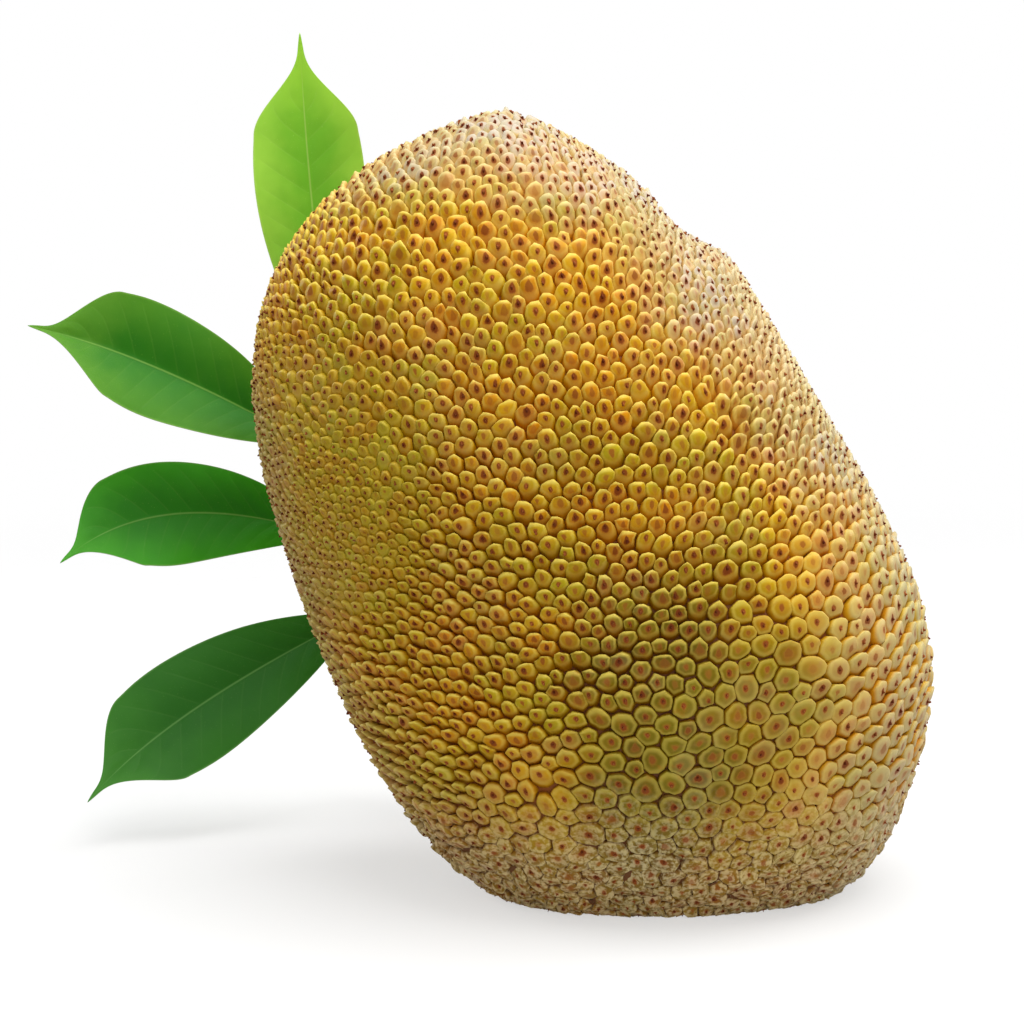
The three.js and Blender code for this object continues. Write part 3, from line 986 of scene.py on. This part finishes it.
def wood_finish():
    f = Finish("stalk_wood_bark")
    grain = f.kept_vector("grain")
    long_grain = f.noise(260.0, 4.0, grain * (1.0, 1.0, 0.14))
    patch = f.noise(60.0, 3.0)
    cut = f.kept("cut").rise(0.3, 0.9)
    colour = f.blend(patch.rise(0.35, 0.65), paint("6d5a2c"), paint("8f8244"))
    colour = f.blend(long_grain.rise(0.45, 0.7) * 0.7, colour, paint("4a3a1c"))
    colour = f.blend(f.noise(420.0, 2.0).rise(0.62, 0.7) * 0.7, colour, paint("b8a980"))
    wood = f.blend(f.noise(900.0, 2.0), paint("d2bb86"), paint("eee2c0"))
    from_core = (grain * (1.0, 1.0, 0.0)).length() * (2 * math.pi / YEAR_RING)
    year_rings = (from_core + patch * 4.0).through("SINE").rise(-0.2, 1.0)
    wood = f.blend(year_rings * 0.4, wood, paint("a98c58"))
    latex = f.noise(170.0, 2.0).rise(0.58, 0.64) * cut
    wood = f.blend(latex, wood, paint("f2eee2"))
    colour = f.blend(cut, colour, wood)
    f.drive(Base_Color=colour, Roughness=0.85 - cut * 0.25 - latex * 0.3)
    f.drive(Normal=f.bump(long_grain + latex * 0.4, 0.8, 1.0 * MM))
    return f.material


def bark_finish():
    f = Finish("shoot_green_bark")
    grain = f.kept_vector("grain")
    long_grain = f.noise(500.0, 3.0, grain * (1.0, 1.0, 0.2))
    length = grain.parts()[2]
    colour = f.blend(length.rise(0.01, 0.11), paint("7a6f38"), paint("6f8f34"))
    colour = f.blend(long_grain.rise(0.45, 0.7) * 0.5, colour, paint("4f5a22"))
    colour = f.blend(f.kept("cork"), colour, paint("b9a878"))
    f.drive(Base_Color=colour, Roughness=(long_grain * 0.2 + 0.5).least(1.0))
    f.drive(Normal=f.bump(long_grain, 0.5, 0.4 * MM))
    return f.material


# ---------- the leaves ----------
def blade_half(share):
    """The blade's half width as a share of its widest: an oval that draws in to a drip tip."""
    oval = np.abs(np.sin(math.pi * share**1.3)) ** 0.6 * (1 - smooth(share, 0.72, 0.95))
    drip_tip = 0.5 * (1 - share) ** 0.8 * smooth(share, 0.7, 0.88)
    return oval + drip_tip + 0.03 * (1 - share) ** 0.6 + 0.004


def bent_line(midrib, shares):
    """A curve bent through three points, at the given shares of its length."""
    start, middle, end = np.array(midrib) * MM
    control = 2 * middle - (start + end) / 2
    t = np.linspace(0, 1, 400)[:, None]
    return evenly_spaced(start * (1 - t) ** 2 + control * 2 * t * (1 - t) + end * t**2, shares)


def leaf_blade(name, midrib, half_width, faces, fold, wave):
    """A thin closed blade, folded along its midrib, with sunken veins above and raised ones below."""
    rows, columns = BLADE_GRID
    share = np.linspace(0, 1, rows)
    line, ways = bent_line(midrib, PETIOLE_SHARE + (1 - PETIOLE_SHARE) * share)
    aside = unit(np.cross(ways, faces))
    upward = unit(np.cross(aside, ways))
    half = half_width * MM * blade_half(share)[:, None]
    side = np.sin(np.linspace(-1, 1, columns) * math.pi / 2)[None]
    away = np.sqrt(side * side + 0.002)
    lift = half * (away * math.sin(fold) - 0.12 * side * side)
    edge_wave = np.sin(share[:, None] * 13 + wave + np.sign(side) * 0.9)
    lift = lift + EDGE_WAVE * edge_wave * np.abs(side) ** 2.5 * blade_half(share)[:, None]
    vein_turn = share[:, None] * VEINS - np.abs(side) * VEIN_SWEEP
    pillow = 0.5 - 0.5 * np.cos(vein_turn * 2 * math.pi)
    inside = np.clip(1.15 - np.abs(side), 0, 1) * np.clip(np.abs(side) * 6, 0, 1)
    broad = smooth(half, 4 * MM, 11 * MM)
    lift = lift + PILLOW * (pillow**0.5 - 0.6) * inside * broad
    rib = np.exp(-((side * half / MIDRIB_HALF_WIDTH) ** 2)) * (1 - 0.75 * share[:, None])
    rib = rib * smooth(half, 0, 5 * MM)
    skin = line[:, None] + aside[:, None] * (side * half * math.cos(fold))[..., None]
    thin = BLADE_HALF_THICKNESS * (1 - 0.6 * np.abs(side)) * (1 - 0.5 * share[:, None] ** 8)
    top = skin + upward[:, None] * (lift + thin - MIDRIB_GROOVE * rib)[..., None]
    under = skin + upward[:, None] * (lift - thin - MIDRIB_RIDGE * rib)[..., None]
    rings = np.concatenate([top, under[:, ::-1]], axis=1)
    sides = np.concatenate([side, side[:, ::-1]], axis=1)
    spread = np.broadcast_to(sides, rings.shape[:2])
    along = np.broadcast_to(share[:, None], rings.shape[:2])
    below = np.broadcast_to(np.repeat([0.0, 1.0], columns)[None], rings.shape[:2])
    return closed_rings(name, rings, blade=np.stack([along, spread, below], axis=2))


def make_leaf(name, midrib, half_width, faces, fold, slot, finish):
    blade = leaf_blade(name, midrib, half_width, faces, fold, len(name))
    steps = 26
    share = np.linspace(0, 1, steps)
    line, ways = bent_line(midrib, share * PETIOLE_REACH)
    radius = (PETIOLE_RADIUS[0] + (PETIOLE_RADIUS[1] - PETIOLE_RADIUS[0]) * share) * MM
    radius = (radius + bulge(share, 0.0, 0.9, 0.14)) * (1 - 0.8 * smooth(share, 0.5, 1.0))
    line = line - unit(np.cross(np.cross(ways, faces), ways)) * (0.5 * MM * share[:, None])
    stem = round_bar("petiole", line, ways, np.repeat(radius[:, None], 16, axis=1))
    both = bmesh.new()
    both.from_mesh(blade)
    blade_end = len(both.verts)
    both.from_mesh(stem)
    both.to_mesh(blade)
    kept = np.zeros(len(blade.vertices), np.float32)
    kept[blade_end:] = 1
    stored(blade, "stem", kept)
    blade.polygons.foreach_set("use_smooth", [True] * len(blade.polygons))
    blade.materials.append(finish)
    finished(placed(name + "_blade", blade), slot, name)


def leaf_finish(name, deep, fresh, tip, vein):
    """A glossy leaf: deep beside the midrib, fresh towards the edge and the tip, with pale veins."""
    f = Finish(name, Specular_IOR_Level=0.18)
    share, side, below = f.kept_vector("blade").parts()
    away = abs(side)
    cloud = f.noise(38.0, 3.0)
    fleck = f.noise(1500.0, 1.0)
    colour = f.blend((away * 0.7 + (cloud - 0.5) * 0.9).rise(0.0, 0.9), paint(deep), paint(fresh))
    colour = f.blend((share + (cloud - 0.5) * 0.3).rise(0.62, 1.0), colour, paint(tip))
    turn = (share * VEINS - away * VEIN_SWEEP).through("FRACT")
    beside = abs(turn - 0.5) * -2 + 1
    side_vein = (1 - beside.rise(0.0, 0.13)) * away.rise(0.0, 0.1) * (1 - away.rise(0.75, 0.95))
    side_vein = side_vein * (1 - share.rise(0.8, 0.88))
    colour = f.blend(side_vein * 0.07, colour, paint(vein))
    midrib = 1 - (away * (share * 1.4 + 1)).rise(0.012, 0.042)
    colour = f.blend(midrib * 0.45, colour, paint(vein))
    colour = f.blend(away.rise(0.96, 0.995) * 0.45, colour, paint(vein))
    colour = f.blend(fleck.rise(0.7, 0.78) * 0.3, colour, paint(vein))
    colour = f.blend(below.rise(0.4, 0.6) * 0.35, colour, paint("b4cf86"))
    colour = f.blend(f.kept("stem"), colour, paint("9aa648"))
    f.drive(Base_Color=colour, Roughness=(cloud * 0.15 + below * 0.2 + 0.32).least(1.0))
    net_veins = f.add("ShaderNodeTexVoronoi", {"feature": "DISTANCE_TO_EDGE"}, {"Scale": 520.0}, 0)
    relief = net_veins.rise(0.0, 0.2) * 0.25 - side_vein * 0.5
    f.drive(Normal=f.bump(relief, 0.35, 0.25 * MM))
    return f.material


# ---------- the studio ----------
def make_camera():
    lens = bpy.data.cameras.new("camera")
    lens.lens = 100
    lens.sensor_width = 36
    camera = placed("camera", lens)
    back = Vector((0, -math.cos(CAMERA_RISE), math.sin(CAMERA_RISE)))
    camera.location = CAMERA_TARGET + back * CAMERA_DISTANCE
    camera.rotation_euler = (-back).to_track_quat("-Z", "Y").to_euler()
    bpy.context.scene.camera = camera


def make_lights():
    for name, (place, size, power) in LIGHTS.items():
        lamp = bpy.data.lights.new(name, "AREA")
        lamp.shape = "DISK"
        lamp.size = size
        lamp.energy = power
        made = placed(name, lamp)
        made.location = Vector(place)
        made.rotation_euler = (Vector(LIGHTS_AIM) - Vector(place)).to_track_quat("-Z", "Y").to_euler()


def make_sky():
    world = bpy.data.worlds.new("studio")
    world.use_nodes = True
    bench = Bench(world.node_tree)
    seen = bench.add("ShaderNodeLightPath", output="Is Camera Ray")
    sky = world.node_tree.nodes["Background"]
    sky.inputs["Color"].default_value = (1, 1, 1, 1)
    feed(world.node_tree, sky.inputs["Strength"], seen.between(SKY_LIGHT, SKY_SEEN))
    bpy.context.scene.world = world
    bpy.context.scene.view_settings.view_transform = "Standard"


def make_floor():
    """A wide disc that catches the fruit's shadow and fades out into the bright surroundings."""
    mesh = bpy.data.meshes.new("floor")
    disc = bmesh.new()
    bmesh.ops.create_circle(disc, cap_ends=True, segments=96, radius=FLOOR_RADIUS)
    disc.to_mesh(mesh)
    f = Finish("floor", Roughness=0.6, Specular_IOR_Level=0.25)
    f.drive(Base_Color=(0.9, 0.9, 0.9, 1))
    fade = f.place().length().rise(0.5, 1.3).between(FLOOR_CLEAR, 1.0)
    clear = f.tree.nodes.new("ShaderNodeBsdfTransparent")
    mixer = f.tree.nodes.new("ShaderNodeMixShader")
    feed(f.tree, mixer.inputs[0], fade)
    f.tree.links.new(f.shader.outputs[0], mixer.inputs[1])
    f.tree.links.new(clear.outputs[0], mixer.inputs[2])
    out = next(n for n in f.tree.nodes if n.type == "OUTPUT_MATERIAL")
    f.tree.links.new(mixer.outputs[0], out.inputs["Surface"])
    mesh.materials.append(f.material)
    placed("floor", mesh)


make_rind()
make_stalk()
make_shoot()
for leaf_name, (*shape, slot, colours) in LEAVES.items():
    make_leaf(leaf_name, *shape, slot, leaf_finish(leaf_name + "_green", *colours))
make_camera()
make_lights()
make_sky()
make_floor()
